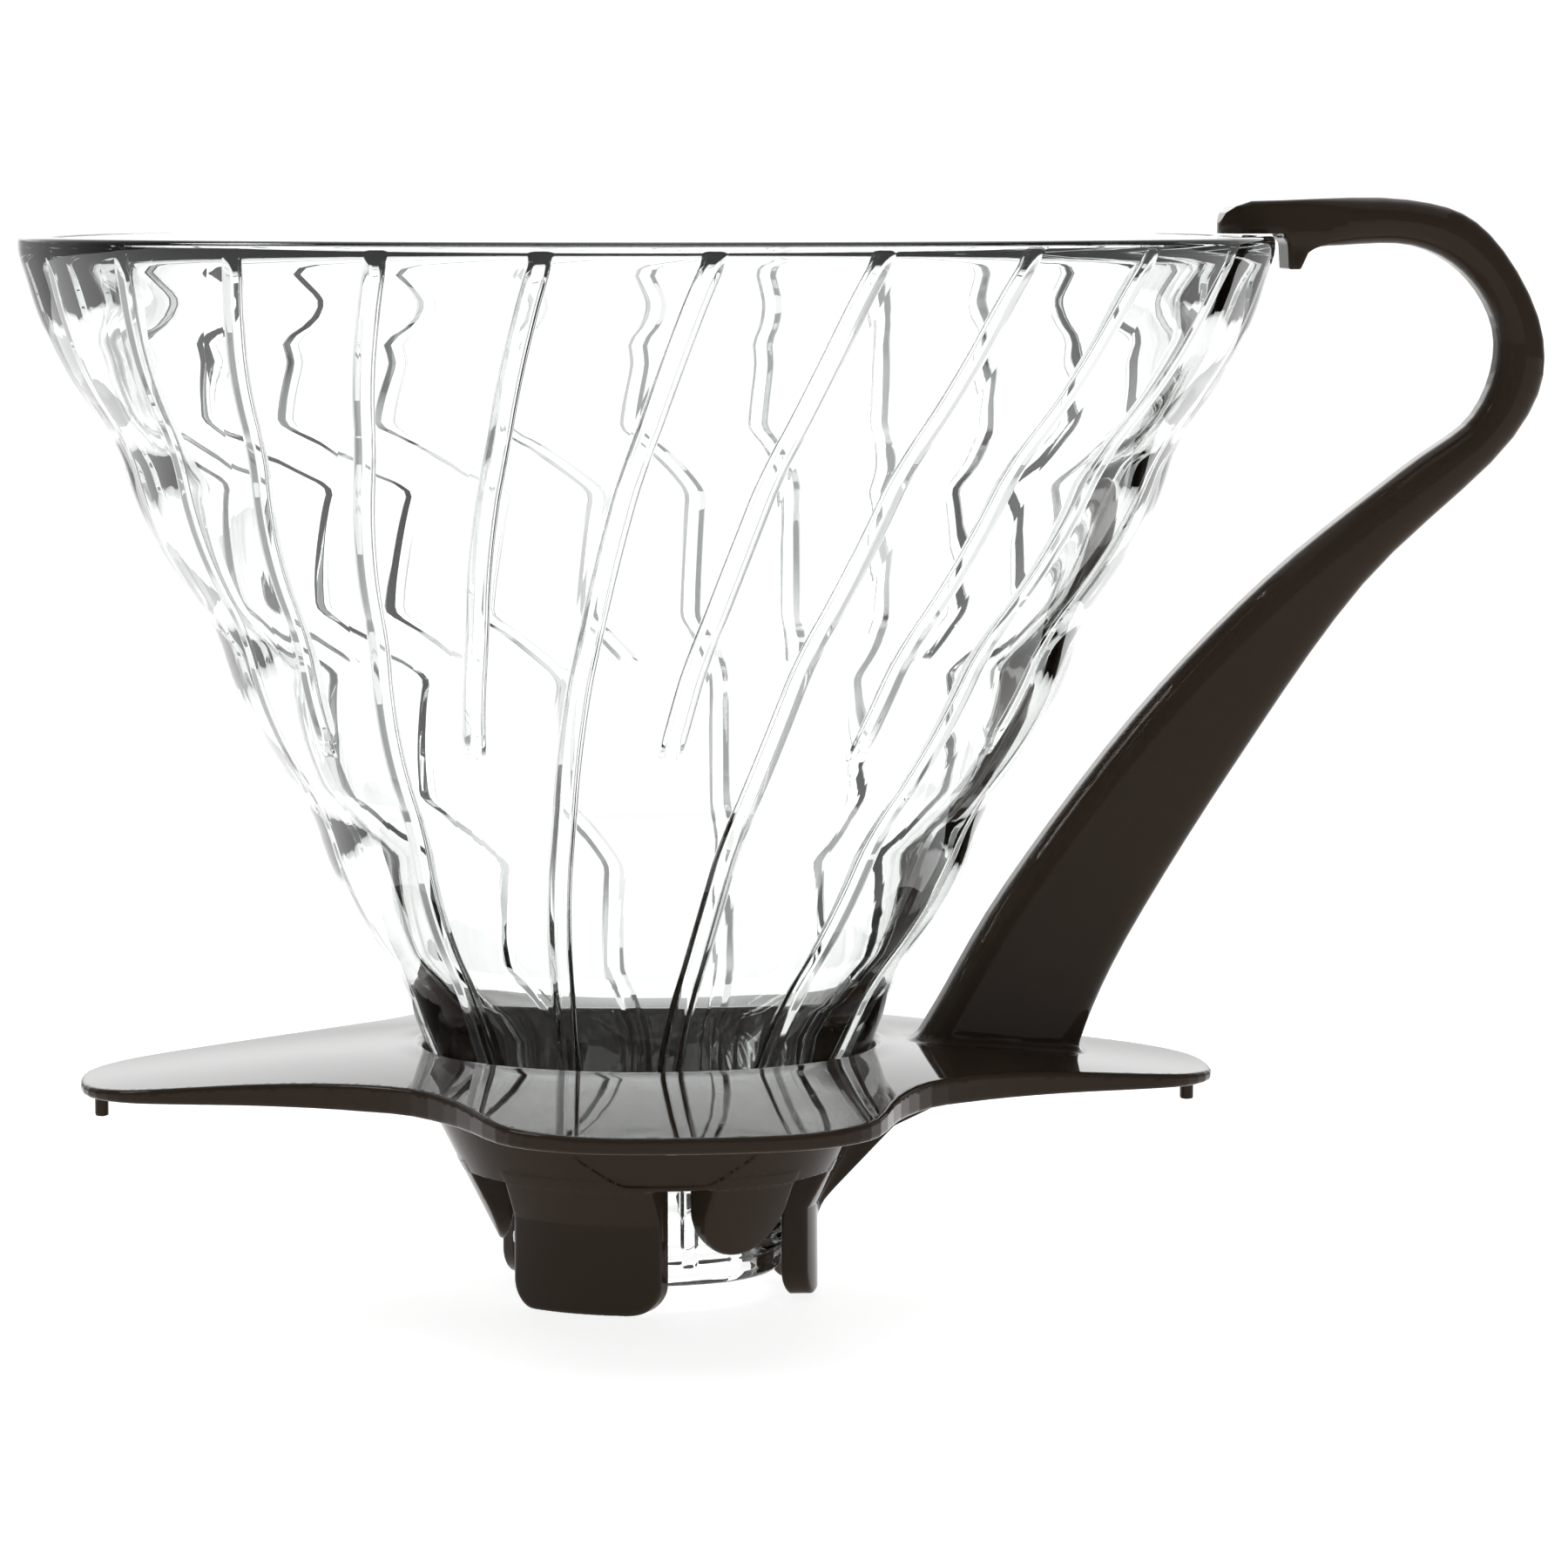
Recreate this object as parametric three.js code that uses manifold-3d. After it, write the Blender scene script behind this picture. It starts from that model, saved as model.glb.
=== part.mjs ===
// A pour over dripper: a ribbed glass cone held in a moulded base with a loop handle.
// Millimetres, +Z up, the feet's flat ends on z = 0. Depths are measured down from the rim.
import * as THREE from "three";
import { mergeVertices } from "three/addons/utils/BufferGeometryUtils.js";
import Module from "manifold-3d";

const wasm = await Module();
wasm.setup();

// ---- Driving dimensions ----
const RIM_HEIGHT = 95.5; // from the feet's ends to the top of the glass
const RIM_RADIUS = 56.1;
const HANDLE_REACH = 81.5; // from the cone's axis to the handle's outermost face
const GAP = 0.3; // clearance between pieces that touch

// Glass cone
const WALL_START = 57.2; // radius that the outer wall's straight line would have at the rim
const CONE_SLOPE = 0.5225; // radius lost per millimetre of depth
const WALL_OFFSET = 3.3; // radial distance from the outer line to the inner wall
const BAND_DEPTHS = [2.2, 18.2, 34.4, 50.9, 66.2]; // where one moulded band ends and the next begins
const BAND_BULGE = 1;
const SHOULDER_DEPTH = 81.2; // the cone ends here on a flat ring above the neck
const SHOULDER_RADIUS = 15.8;
const NECK_RADIUS = 12;
const BORE_RADIUS = 9.8;
const SPOUT_DEPTH = 93.4;
const RIB_COUNT = 24; // every second one is short
const RIB_RADIUS = 0.95;
const RIB_TOP_DEPTH = 2.6;
const SHORT_RIB_DEPTH = 42.8;
const LONG_RIB_DEPTH = 81;
const RIB_TWIST = THREE.MathUtils.degToRad(-0.42); // turn per millimetre of depth
const FIRST_RIB_ANGLE = THREE.MathUtils.degToRad(-88.7);
const LUG_RADIUS = 12.9;
const LUG_HALF_ANGLE = 15; // degrees
const LUG_DEPTHS = [84.25, 86.4];

// Base plate
const OPENING_RADIUS = 20.9;
const PLATE_DEPTH = 72.7; // of its top face, at the opening
const PLATE_THICKNESS = 2.4;
const TAPER = 0.08; // thickness lost per millimetre of radius beyond TAPER_START
const TAPER_START = 33;
const PLATE_REACH = 51.3; // to a wing's tip
const LOBE_REACH = 45.6;
const DROOP = 0.0265; // the top face falls by DROOP * (radius - 20) ** DROOP_POWER
const DROOP_START = 20;
const DROOP_POWER = 1.35;
const TIP_PEG = { x: 49.4, width: 1.2, depth: 1.8, bottom: 78.8 }; // under each wing's tip

// Seat cup with its feet and tabs
const CUP_TOP_DEPTH = PLATE_DEPTH + PLATE_THICKNESS + GAP;
const SHELF_DEPTHS = [82.5, 83.9];
const SHELF_RADIUS = 12.3;
const SKIRT_INNER_RADIUS = 13.2; // inside the feet and tabs
const FOOT_OUTER_RADIUS = 15.3;
const FOOT_HALF_WIDTH = 7.2;
const FOOT_CORNER = 2.7;
const TAB_HALF_WIDTH = 4.4;
const TAB_DEPTH = 90.6;
const KEYWAY_HALF_ANGLE = 19; // degrees
const FINS = 3; // feet, tabs, lugs and keyways each come in threes

// Handle
const HANDLE_THICKNESS = 6.4; // across, along Y

const SIDES = 48; // round pieces

// ---- Helpers ----
const up = (depth) => RIM_HEIGHT - depth;

function solid(geometry) {
  const bare = geometry.index ? geometry.clone() : mergeVertices(geometry.clone());
  bare.deleteAttribute("normal");
  bare.deleteAttribute("uv");
  const merged = mergeVertices(bare, 1e-4);
  return new wasm.Manifold(
    new wasm.Mesh({
      numProp: 3,
      vertProperties: merged.attributes.position.array,
      triVerts: new Uint32Array(merged.index.array),
    }),
  );
}

// A ring turned from a closed profile of [radius, depth] points: out along its top, down and back in.
function turned(profile, sides = SIDES) {
  const points = [...profile, profile[0]].map(([r, depth]) => new THREE.Vector2(r, up(depth)));
  points.reverse();
  return solid(new THREE.LatheGeometry(points, sides).rotateX(Math.PI / 2).rotateZ(Math.PI / 2));
}

// A slab whose outline lies in the XZ plane, centred on y = 0.
function slab(shape, thickness, curveSegments = 8) {
  const settings = { depth: thickness, bevelEnabled: false, curveSegments };
  const geometry = new THREE.ExtrudeGeometry(shape, settings);
  return solid(geometry.translate(0, 0, -thickness / 2).rotateX(Math.PI / 2));
}

// A block standing out along -Y between two radii, with its outline in the XZ plane, turned to an angle.
function radialBlock(shape, inner, outer, degrees) {
  const settings = { depth: outer - inner, bevelEnabled: false, curveSegments: 5 };
  const geometry = new THREE.ExtrudeGeometry(shape, settings).rotateX(Math.PI / 2);
  return solid(geometry.translate(0, -inner, 0).rotateZ(THREE.MathUtils.degToRad(degrees + 90)));
}

// A wedge of a ring between two angles either side of a middle one, for lugs and keyways.
function ringSector(inner, outer, depths, middle, half) {
  const [start, length] = [middle - half, 2 * half].map(THREE.MathUtils.degToRad);
  const shape = new THREE.Shape();
  shape.absarc(0, 0, outer, start, start + length, false);
  shape.absarc(0, 0, inner, start + length, start, true);
  const settings = { depth: depths[1] - depths[0], bevelEnabled: false, curveSegments: 5 };
  return solid(new THREE.ExtrudeGeometry(shape, settings).translate(0, 0, up(depths[1])));
}

const finAngles = (first) => Array.from({ length: FINS }, (_, i) => first + (i * 360) / FINS);
const join = (parts) => parts.reduce((whole, part) => whole.add(part));

function part(name, body, material) {
  const { vertProperties, triVerts } = body.getMesh();
  const geometry = new THREE.BufferGeometry();
  geometry.setAttribute("position", new THREE.BufferAttribute(vertProperties, 3));
  geometry.setIndex(new THREE.BufferAttribute(triVerts, 1));
  geometry.computeVertexNormals();
  const mesh = new THREE.Mesh(geometry, material);
  mesh.name = name;
  return mesh;
}

// ---- Materials ----
const clearGlass = new THREE.MeshStandardMaterial({
  color: 0xe4ece8,
  roughness: 0.04,
  metalness: 0,
  transparent: true,
  opacity: 0.35,
});
const blackPlastic = new THREE.MeshStandardMaterial({ color: 0x2a2420, roughness: 0.18, metalness: 0 });
const softSilicone = new THREE.MeshStandardMaterial({ color: 0x3a3633, roughness: 0.6, metalness: 0 });

// ---- Glass cone ----
const outerLine = (depth) => WALL_START - CONE_SLOPE * depth;
const innerRadius = (depth) => outerLine(depth) - WALL_OFFSET;
const boreDepth = (WALL_START - WALL_OFFSET - BORE_RADIUS) / CONE_SLOPE; // where the cone meets the bore

function glassProfile() {
  const outer = [];
  const steps = 4;
  for (let band = 0; band + 1 < BAND_DEPTHS.length; band++) {
    for (let i = 0; i < steps; i++) {
      const t = i / steps;
      const depth = THREE.MathUtils.lerp(BAND_DEPTHS[band], BAND_DEPTHS[band + 1], t);
      outer.push([outerLine(depth) + 4 * BAND_BULGE * t * (1 - t), depth]);
    }
  }
  return [
    [innerRadius(0) + 0.8, 0],
    [RIM_RADIUS - 0.6, 0],
    [RIM_RADIUS, 0.6],
    ...outer,
    [outerLine(BAND_DEPTHS.at(-1)), BAND_DEPTHS.at(-1)],
    [20.4, 72.3],
    [SHOULDER_RADIUS, SHOULDER_DEPTH],
    [NECK_RADIUS, SHOULDER_DEPTH],
    [NECK_RADIUS, SPOUT_DEPTH - 0.5],
    [NECK_RADIUS - 0.5, SPOUT_DEPTH],
    [BORE_RADIUS, SPOUT_DEPTH],
    [BORE_RADIUS, boreDepth],
    [innerRadius(0.8), 0.8],
  ];
}

// A round bar lying half sunk in the inner wall, turning about the axis as it goes down.
function rib(index) {
  const end = index % 2 ? SHORT_RIB_DEPTH : LONG_RIB_DEPTH;
  const start = FIRST_RIB_ANGLE + (index * 2 * Math.PI) / RIB_COUNT;
  const route = [];
  const steps = 8;
  for (let i = 0; i <= steps; i++) {
    const depth = THREE.MathUtils.lerp(RIB_TOP_DEPTH, end, i / steps);
    const angle = start + RIB_TWIST * depth;
    const r = innerRadius(depth);
    route.push(new THREE.Vector3(r * Math.cos(angle), r * Math.sin(angle), up(depth)));
  }
  const section = new THREE.Shape().absarc(0, 0, RIB_RADIUS, 0, 2 * Math.PI, false);
  const path = new THREE.CatmullRomCurve3(route);
  const settings = { steps: index % 2 ? 4 : 7, extrudePath: path, curveSegments: 3 };
  return solid(new THREE.ExtrudeGeometry(section, settings));
}

function glassCone() {
  const pieces = [turned(glassProfile())];
  for (let index = 0; index < RIB_COUNT; index++) {
    pieces.push(rib(index));
  }
  for (const angle of finAngles(60)) {
    pieces.push(ringSector(NECK_RADIUS - 0.4, LUG_RADIUS, LUG_DEPTHS, angle, LUG_HALF_ANGLE));
  }
  return part("glass_cone", join(pieces), clearGlass);
}

// ---- Base plate ----
const plateTop = (r) => PLATE_DEPTH + DROOP * Math.max(0, r - DROOP_START) ** DROOP_POWER;
const plateThickness = (r) => PLATE_THICKNESS - TAPER * Math.max(0, r - TAPER_START);

// A drooping sheet that follows the plate's top face, with a rise above it and a thickness below it.
function sheet(inner, outer, rise, thickness) {
  const radii = [inner, 25, 29, TAPER_START, 37, 41, 45, 49, outer];
  const topSide = radii.map((r) => [r, plateTop(r) - rise]);
  const underSide = radii.map((r) => [r, plateTop(r) + thickness(r)]).reverse();
  return turned([...topSide, ...underSide]);
}

// Four lobes: two wings on X, wide and front on Y, with a hollow between each pair.
function plateOutline() {
  const quarter = [
    [PLATE_REACH, 0],
    [50.6, 5.6],
    [47.9, 9.6],
    [43.6, 12],
    [36, 14.8],
    [28.7, 18.5],
    [22.8, 23.4],
    [19.2, 30],
    [16.4, 38.4],
    [13, 42.4],
    [8, 44.8],
    [0, LOBE_REACH],
  ];
  const half = [...quarter, ...quarter.slice(0, -1).reverse().map(([x, y]) => [-x, y])];
  const whole = [...half, ...half.slice(1, -1).reverse().map(([x, y]) => [x, -y])];
  const curve = new THREE.CatmullRomCurve3(
    whole.map(([x, y]) => new THREE.Vector3(x, y, 0)),
    true,
  );
  return new THREE.Shape(curve.getPoints(96).slice(0, -1).map((p) => new THREE.Vector2(p.x, p.y)));
}

function tipPeg(side) {
  const { x, width, depth, bottom } = TIP_PEG;
  const top = plateTop(x) + plateThickness(x) / 2;
  const box = new THREE.BoxGeometry(width, depth, bottom - top);
  return solid(box.translate(side * x, 0, up((top + bottom) / 2)));
}

function basePlate() {
  const settings = { depth: 20, bevelEnabled: false };
  const cutter = solid(new THREE.ExtrudeGeometry(plateOutline(), settings).translate(0, 0, up(85)));
  const plate = sheet(OPENING_RADIUS, 54, 0, plateThickness).intersect(cutter);
  return part("base_plate", join([plate, tipPeg(1), tipPeg(-1)]), blackPlastic);
}

// ---- Seat cup ----
function footShape() {
  const [w, r, low, high] = [FOOT_HALF_WIDTH, FOOT_CORNER, 0, up(SHELF_DEPTHS[0] + 0.6)];
  const shape = new THREE.Shape();
  shape.moveTo(-w, high);
  shape.lineTo(-w, low + r);
  shape.absarc(-w + r, low + r, r, Math.PI, 1.5 * Math.PI, false);
  shape.absarc(w - r, low + r, r, 1.5 * Math.PI, 2 * Math.PI, false);
  shape.lineTo(w, high);
  return shape;
}

function tabShape() {
  const [w, low, high] = [TAB_HALF_WIDTH, up(TAB_DEPTH), up(SHELF_DEPTHS[0] + 0.6)];
  const shape = new THREE.Shape();
  shape.moveTo(-w, high);
  shape.absarc(0, low + w, w, Math.PI, 2 * Math.PI, false);
  shape.lineTo(w, high);
  return shape;
}

// Outer wall of the cup, on down to the tabs' round ends.
const cupRadius = (depth) => 20.5 - 0.505 * (depth - 77);

function gusset() {
  const points = [
    [20.6, 75.5],
    [26, 75.85],
    [33, 76.4],
    [22.3, 80.8],
    [FOOT_OUTER_RADIUS, 88],
    [14.2, 88],
    [14.2, 84.5],
    [17, 82.5],
  ];
  const shape = new THREE.Shape(points.map(([x, depth]) => new THREE.Vector2(x, up(depth))));
  return slab(shape, 2.4);
}

function seatCup() {
  const [shelfTop, shelfBottom] = SHELF_DEPTHS;
  const cup = turned([
    [19.7, CUP_TOP_DEPTH],
    [21.6, CUP_TOP_DEPTH],
    [cupRadius(shelfBottom), shelfBottom],
    [SHELF_RADIUS, shelfBottom],
    [SHELF_RADIUS, shelfTop],
    [16.2, shelfTop],
    [16.2, SHOULDER_DEPTH],
  ]);
  const overlap = shelfBottom - 0.4;
  const tabRing = turned([
    [SKIRT_INNER_RADIUS, overlap],
    [cupRadius(overlap), overlap],
    [cupRadius(TAB_DEPTH), TAB_DEPTH],
    [SKIRT_INNER_RADIUS, TAB_DEPTH],
  ]);
  const waist = 77 + (20.5 - FOOT_OUTER_RADIUS) / 0.505; // where the cup has narrowed to the feet
  const footRing = turned([
    [SKIRT_INNER_RADIUS, overlap],
    [cupRadius(overlap), overlap],
    [FOOT_OUTER_RADIUS, waist],
    [FOOT_OUTER_RADIUS, RIM_HEIGHT],
    [SKIRT_INNER_RADIUS, RIM_HEIGHT],
  ]);
  const feet = finAngles(0).map((angle) => radialBlock(footShape(), 11, 20, angle).intersect(footRing));
  const tabs = finAngles(60).map((angle) => radialBlock(tabShape(), 11, 20, angle).intersect(tabRing));
  const keyways = finAngles(0).map((angle) =>
    ringSector(10, SKIRT_INNER_RADIUS, [shelfTop - 1, shelfBottom + 1], angle, KEYWAY_HALF_ANGLE),
  );
  const body = join([cup, ...feet, ...tabs, gusset()]).subtract(join(keyways));
  return part("seat_cup", body, blackPlastic);
}

// ---- Cushion ring ----
function cushionRing() {
  const ring = turned([
    [12.4, SHOULDER_DEPTH + GAP],
    [15.8, SHOULDER_DEPTH + GAP],
    [15.8, SHELF_DEPTHS[0] - 0.2],
    [12.4, SHELF_DEPTHS[0] - 0.2],
  ]);
  return part("cushion_ring", ring, softSilicone);
}

// ---- Handle ----
// Side outline, as [distance from the cone's axis, height above the rim].
function handleOutline() {
  const back = [
    [54.4, 2.9],
    [69, 3.05],
    [76.6, 0.1],
    [HANDLE_REACH, -9.4],
    [79, -18.4],
    [65.2, -31.7],
    [53.5, -48],
    [43.6, -63.8],
    [39.4, -73],
    [39.6, -76],
  ];
  const front = [
    [23.2, -76],
    [26.3, -69.6],
    [32.6, -59],
    [44.3, -43.6],
    [56.5, -31.1],
    [68.8, -21.3],
    [75.4, -16.3],
    [77.5, -9.8],
    [75, -4.2],
    [69.6, -1],
    [61.2, -1],
  ];
  const hook = [
    [59.2, -2.7],
    [57.9, -2.7],
    [57.6, -0.4],
    [56.8, GAP],
    [51.8, GAP],
    [51.8, 1.1],
    [52.2, 2],
    [53, 2.6],
  ];
  const vectors = (points) => points.map(([x, z]) => new THREE.Vector2(x, RIM_HEIGHT + z));
  const backCurve = new THREE.SplineCurve(vectors(back)).getPoints(36);
  const frontCurve = new THREE.SplineCurve(vectors(front)).getPoints(40);
  return new THREE.Shape([...backCurve, ...frontCurve, ...vectors(hook)]);
}

function handle() {
  const blade = slab(handleOutline(), HANDLE_THICKNESS);
  const clearance = sheet(19, 54, GAP, () => 6);
  return part("handle", blade.subtract(clearance), blackPlastic);
}

// ---- The dripper ----
const dripper = new THREE.Group();
dripper.name = "pour_over_dripper";
dripper.position.x = (RIM_RADIUS - HANDLE_REACH) / 2; // centres the whole width on the frame's origin
dripper.add(glassCone(), basePlate(), seatCup(), cushionRing(), handle());

export default dripper;
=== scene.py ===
"""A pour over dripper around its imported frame: a ribbed glass cone, a glossy moulded stand and a soft washer.

Shapes are worked out in millimetres from the cone's axis and the rim's top (z = 0 there, negative below),
and placed in the frame in metres.
"""

import math

import bpy
import numpy as np
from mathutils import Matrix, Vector


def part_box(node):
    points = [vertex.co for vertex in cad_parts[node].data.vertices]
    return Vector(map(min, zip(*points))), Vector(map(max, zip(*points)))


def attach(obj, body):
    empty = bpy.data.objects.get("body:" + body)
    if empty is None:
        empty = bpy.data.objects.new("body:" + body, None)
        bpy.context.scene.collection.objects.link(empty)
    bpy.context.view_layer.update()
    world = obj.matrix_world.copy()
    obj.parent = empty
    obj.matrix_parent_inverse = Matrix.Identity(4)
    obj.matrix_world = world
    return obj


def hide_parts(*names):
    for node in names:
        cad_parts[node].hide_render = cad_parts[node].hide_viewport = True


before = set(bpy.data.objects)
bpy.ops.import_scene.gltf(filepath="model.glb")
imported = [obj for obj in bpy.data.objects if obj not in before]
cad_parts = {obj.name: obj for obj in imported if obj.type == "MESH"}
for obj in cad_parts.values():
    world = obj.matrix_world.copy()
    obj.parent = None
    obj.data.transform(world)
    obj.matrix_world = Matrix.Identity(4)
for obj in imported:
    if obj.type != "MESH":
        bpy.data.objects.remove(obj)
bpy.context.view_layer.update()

MM = 0.001

# ---- Sizes read from the frame, in millimetres ----
glass_low, glass_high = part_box("glass_cone")
plate_low, plate_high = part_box("base_plate")
cup_low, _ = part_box("seat_cup")
handle_low, handle_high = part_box("handle")
ring_low, ring_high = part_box("cushion_ring")

AXIS = (glass_low + glass_high) / 2
RIM_Z = glass_high.z
ORIGIN = np.array([AXIS.x, AXIS.y, RIM_Z])

RIM_RADIUS = (glass_high.x - glass_low.x) / 2 / MM
SPOUT_DEPTH = (RIM_Z - glass_low.z) / MM
FOOT_DEPTH = (RIM_Z - cup_low.z) / MM
PLATE_REACH = (plate_high.x - plate_low.x) / 2 / MM
LOBE_REACH = (plate_high.y - plate_low.y) / 2 / MM
PLATE_DEPTH = (RIM_Z - plate_high.z) / MM
PEG_DEPTH = (RIM_Z - plate_low.z) / MM
HANDLE_REACH = (handle_high.x - AXIS.x) / MM
HANDLE_RISE = (handle_high.z - RIM_Z) / MM

# ---- Glass cone ----
OUTER_START = 57.2  # the straight outer wall's radius, drawn on to the rim's level
CONE_SLOPE = 0.5225
WALL_OFFSET = 3.3
ROOT_DEPTH = 68.0  # where the bands end, just above the stand
# How far the outer wall's slope is off the cone's at each depth: convex bands with concave valleys between.
SLOPE_WAVE = (
    (0.6, 0.52),
    (1.2, 0.45),
    (2.2, 0.2),
    (5.0, 0.24),
    (10.4, 0.0),
    (15.4, -0.25),
    (20.8, 0.25),
    (26.4, 0.0),
    (31.6, -0.245),
    (37.0, 0.25),
    (42.6, 0.0),
    (48.2, -0.25),
    (53.6, 0.25),
    (58.6, 0.0),
    (63.4, -0.25),
    (68.0, 0.1),
)
WAVE_STEPS = 128
INNER_WAVE = 0.2  # how much of the outer wall's waves the inner wall follows
INNER_WAVE_START = (4, 9)  # depths over which the inner wall takes them up
INNER_WAVE_ROW = 12  # first of the outer wall's rows that it follows
INNER_STEPS = 120
RIM_ROUND = 0.5  # radius of the rim's edges
RIM_INSET = 0.75  # from the inner wall's line to the centre of the rim's inner edge
SHOULDER_EDGE = 0.6
NECK_FILLET = 0.4
NECK_STEP = 0.22  # between the neck's rows
SPOUT_EDGE = 0.8
BORE_EDGE = 0.7
ROOT_PROFILE = ((17.05, 79.0), (18.1, 77.0), (19.3, 74.7), (20.4, 72.4), (21.15, 70.4))  # (radius, depth)
SHOULDER_DEPTH = 81.2
SHOULDER_RADIUS = 15.8
NECK_RADIUS = 12.0
BORE_RADIUS = 9.8
BORE_DEPTH = (OUTER_START - WALL_OFFSET - BORE_RADIUS) / CONE_SLOPE  # where the inner wall meets the bore
RIB_COUNT = 24
RIB_HEIGHT = 0.75
RIB_TOP_DEPTH = 1.2
SHORT_RIB_DEPTH = 42.8
LONG_RIB_DEPTH = 81.0
RIB_TWIST = math.radians(-0.42)  # for each millimetre of depth
FIRST_RIB_ANGLE = math.radians(-88.7)
RIB_OFFSETS = (-1.1, -1.02, -0.88, -0.74, -0.6, -0.52, -0.26, 0.0, 0.26, 0.52, 0.6, 0.74, 0.88, 1.02, 1.1)
RIB_CREST = 0.52  # half width of a rib's flat crest
RIB_FOOT = 1.02  # half width where it meets the wall
RIB_TOP_EASE = (-0.6, 1.5)  # from RIB_TOP_DEPTH, where a rib rises from the wall
RIB_END_EASE = (-1.2, 0.6)  # from its end, where it sinks into it
GAP_STEPS = 5
LUG_DEPTHS = (84.25, 86.4)
LUG_HEIGHT = 0.9
LUG_HALF_ANGLE = math.radians(15)
LUG_COUNT = 3
LUG_ANGLE = math.radians(60)
LUG_SIDE_EASE = 0.02  # in radians
LUG_TOP_EASE = (-0.25, 0.05)
LUG_BOTTOM_EASE = (-0.05, 0.3)
STOP_ANGLE = math.radians(-18)  # from a lug's middle to the upright stop at its end
STOP_HEIGHT = 0.45
STOP_SIDE_EASE = (0.035, 0.075)  # in radians from its middle
STOP_TOP_EASE = 0.4
STOP_BOTTOM_EASE = (1.6, 2.2)  # above the spout's end
RIM_EDGE = 0.45  # depth of the rim's rounding
RIM_PAINTED_SHADE = 1.0  # how much painted shade the rim's edge has, from 0 to 1
RIB_PAINTED_SHADE = 0.4  # and the painted shade on the ribs' flanks
BEAD_DEPTH = 90.6
BEAD_HEIGHT = 0.4
BEAD_EASE = (0.3, 0.8)  # from its middle

# ---- Stand ----
OPENING_RADIUS = 20.9
PLATE_THICKNESS = 2.4
TAPER = 0.08  # thickness lost per millimetre of radius beyond TAPER_START
TAPER_START = 33.0
PLATE_EDGE = 0.4  # its edges' radius
DROOP = 0.0265
DROOP_START = 20.0
DROOP_POWER = 1.35
CUP_RADIUS = 20.5  # its outside, at CUP_RADIUS_DEPTH
CUP_RADIUS_DEPTH = 77.0
CUP_SLOPE = 0.505
SHELF_DEPTHS = (82.5, 83.9)
SHELF_RADIUS = 12.3
SKIRT_INNER_RADIUS = 13.2
FOOT_OUTER_RADIUS = 15.3
FOOT_HALF_WIDTH = 7.2
FOOT_CORNER = 2.7
FOOT_EDGE = 0.5
TAB_HALF_WIDTH = 4.4
TAB_DEPTH = 90.6
TAB_EDGE = 0.3
FIN_TOP_DEPTH = 83.0  # of the feet and tabs, inside the cup's wall
FIN_FILLET = 0.25
RECESS_DEPTH = 0.22
RECESS_BOTTOM_DEPTH = 83.4
RECESS_HALF_WIDTH = 8.0
RECESS_NARROWING = 3.2  # on each side, towards its bottom
RECESS_FLARE_DEPTH = 80.4  # where it starts to narrow
RECESS_FLARE_HEIGHT = 3.0
RECESS_CORNER = 1.2
RECESS_EDGE = 0.1
RECESS_SIDE_SCALE = 0.8  # the flare's slant makes distances across it longer than they are
RECESS_FACE_SCALE = 0.7
RECESS_SOFTNESS = 0.3
GUSSET_HALF_WIDTH = 1.2
GUSSET_EDGE = 0.35
PEG_REACH = 49.4
PEG_RADIUS = 0.62
PEG_STRETCH = 0.75  # makes it longer along y
PEG_TOP_DROP = 3.3  # from the plate's top to the peg's
PEG_EDGE = 0.15
WALL_COSINE = 0.88  # turns a distance across the axis into one square to the cone's wall
GLASS_CLEARANCE = 0.3
RIM_CLEARANCE = 0.12  # under the hook
HANDLE_HALF_WIDTH = (handle_high.y - handle_low.y) / 2 / MM
HANDLE_ROUND = 2.3  # its edges' radius
HOOK_ROUND = 0.7  # and at the hook
HOOK_START = 51.8
HOOK_NOSE = 2.9  # the hook's rounding seen from above
HOOK_REACH_EASE = (58, 66)  # radii over which the hook's edges turn into the handle's
HOOK_RISE_EASE = (-12, -4)  # and heights
NOSE_LOWEST = -25.9  # the nose's rounding stays above this height
HOOK_LUG_HALF_WIDTH = 2.6
HOOK_LUG_EDGE = 0.3
HOOK_LUG_FILLET = 0.6
CUP_FILLET = 1.4
GUSSET_FILLET = 1.2
PEG_FILLET = 0.3
HANDLE_FILLET = 0.9
MARGIN = 2  # round the stand, for the grid

# ---- Washer ----
WASHER_INNER_RADIUS = 12.4
WASHER_OUTER_RADIUS = 15.8
WASHER_SIDES = 128
WASHER_ARC_STEPS = 9

# ---- Drawing a surface from a field ----
CELL = 0.45  # grid size that the stand's surface is drawn on
BLOCK = 8  # cells along a block of the grid
BLOCKS_AT_ONCE = 400
BLOCK_REACH = 1.25 * math.sqrt(3) / 2  # half a block's diagonal, with room to spare
GRADIENT_STEP = 0.02
LEAST_GRADIENT = 0.2  # squared, so that a step stays short where the field is flat
SETTLE_ROUNDS = 4
REFINEMENTS = 2
SHARP_TURN = math.cos(math.radians(16))  # between the normals at an edge's ends


def smoothstep(edge0, edge1, x):
    t = np.clip((x - edge0) / (edge1 - edge0), 0, 1)
    return t * t * (3 - 2 * t)


def outer_line(depth):
    return OUTER_START - CONE_SLOPE * depth


def inner_radius(depth):
    return outer_line(depth) - WALL_OFFSET


def wall_waves():
    """Depths down the bands and how far the outer wall stands off the cone's straight line at each."""
    depth = np.linspace(SLOPE_WAVE[0][0], ROOT_DEPTH, WAVE_STEPS)
    slope = np.interp(depth, *zip(*SLOPE_WAVE))
    gains = (slope[1:] + slope[:-1]) / 2 * np.diff(depth)
    start = RIM_RADIUS - outer_line(depth[0])
    return depth, start + np.concatenate([[0], np.cumsum(gains)])


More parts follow.
